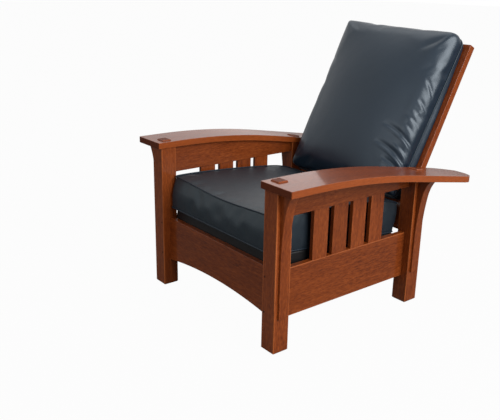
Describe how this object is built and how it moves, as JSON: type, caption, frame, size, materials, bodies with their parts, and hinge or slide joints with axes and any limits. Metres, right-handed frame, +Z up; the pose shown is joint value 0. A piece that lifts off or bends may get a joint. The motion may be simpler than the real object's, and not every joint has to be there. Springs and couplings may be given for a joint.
{
  "type": "reclining armchair",
  "caption": "Mission-style reclining armchair: bowed wooden arms over slatted sides, corbels, loose leather cushions and a ladder back resting on two pegs.",
  "frame": {"origin": "middle of the chair's outline on the floor, under the foot glides", "axes": "+Z up, +Y from the front of the seat towards the back, +X to the sitter's left"},
  "size_m": [0.902, 1.0448, 1.0099],
  "materials": {
    "stained_oak": "reddish-brown stained oak, satin lacquer",
    "dark_peg_wood": "dark stained end grain",
    "hardwood": "plain planed hardwood",
    "beech": "plain dowel",
    "leather": "smooth black leather, soft sheen",
    "foam": "upholstery foam in a thin wrap",
    "cotton_felt": "matted cotton felt",
    "dust_cloth": "thin black cloth",
    "zinc_steel": "zinc plated",
    "dark_steel": "oiled dark steel",
    "nickel_steel": "nickel plated",
    "nylon": "matte dark nylon"
  },
  "bodies": {
    "frame": {"cleat_screws": "zinc_steel", "corbel_dowels": "beech", "deck_cover": "leather", "deck_dust_cover": "dust_cloth", "deck_front_rail": "hardwood", "deck_pad": "cotton_felt", "deck_rear_rail": "hardwood", "deck_springs": "zinc_steel", "foot_glides": "nickel_steel", "front_rail": "stained_oak", "left_arm": "stained_oak", "left_deck_cleat": "hardwood", "left_deck_side_rail": "hardwood", "left_front_corbel": "stained_oak", "left_front_post": "stained_oak", "left_hinge_pin": "dark_steel", "left_hinge_spacer": "nylon", "left_lower_side_rail": "stained_oak", "left_rear_corbel": "stained_oak", "left_rear_post": "stained_oak", "left_side_slat_1": "stained_oak", "left_side_slat_2": "stained_oak", "left_side_slat_3": "stained_oak", "left_side_slat_4": "stained_oak", "left_upper_side_rail": "stained_oak", "rear_rail": "stained_oak", "right_arm": "stained_oak", "right_deck_cleat": "hardwood", "right_deck_side_rail": "hardwood", "right_front_corbel": "stained_oak", "right_front_post": "stained_oak", "right_hinge_pin": "dark_steel", "right_hinge_spacer": "nylon", "right_lower_side_rail": "stained_oak", "right_rear_corbel": "stained_oak", "right_rear_post": "stained_oak", "right_side_slat_1": "stained_oak", "right_side_slat_2": "stained_oak", "right_side_slat_3": "stained_oak", "right_side_slat_4": "stained_oak", "right_upper_side_rail": "stained_oak", "spring_clips": "zinc_steel", "tenon_pegs": "dark_peg_wood"},
    "back": {"back_bottom_rail": "stained_oak", "back_cushion_core": "foam", "back_cushion_cover": "leather", "back_slat_1": "stained_oak", "back_slat_2": "stained_oak", "back_slat_3": "stained_oak", "back_slat_4": "stained_oak", "back_slat_5": "stained_oak", "crest_rail": "stained_oak", "left_back_stile": "stained_oak", "right_back_stile": "stained_oak"},
    "left_peg": {"left_support_peg": "stained_oak"},
    "right_peg": {"right_support_peg": "stained_oak"},
    "seat_cushion": {"seat_cushion_core": "foam", "seat_cushion_cover": "leather"}
  },
  "joints": [
    {"name": "back_recline", "type": "hinge", "parent": "frame", "child": "back", "pos_m": [0, 0.18515, 0.313], "axis": [1, 0, 0], "range_deg": [0, 8.5]},
    {"name": "left_peg_pull", "type": "slide", "parent": "frame", "child": "left_peg", "axis": [-1, 0, 0], "range_m": [0, 0.045]},
    {"name": "right_peg_pull", "type": "slide", "parent": "frame", "child": "right_peg", "axis": [1, 0, 0], "range_m": [0, 0.045]},
    {"name": "seat_cushion_slide", "type": "slide", "parent": "frame", "child": "seat_cushion", "axis": [0, -0.9968, 0.0802], "range_m": [0, 0.15]}
  ]
}
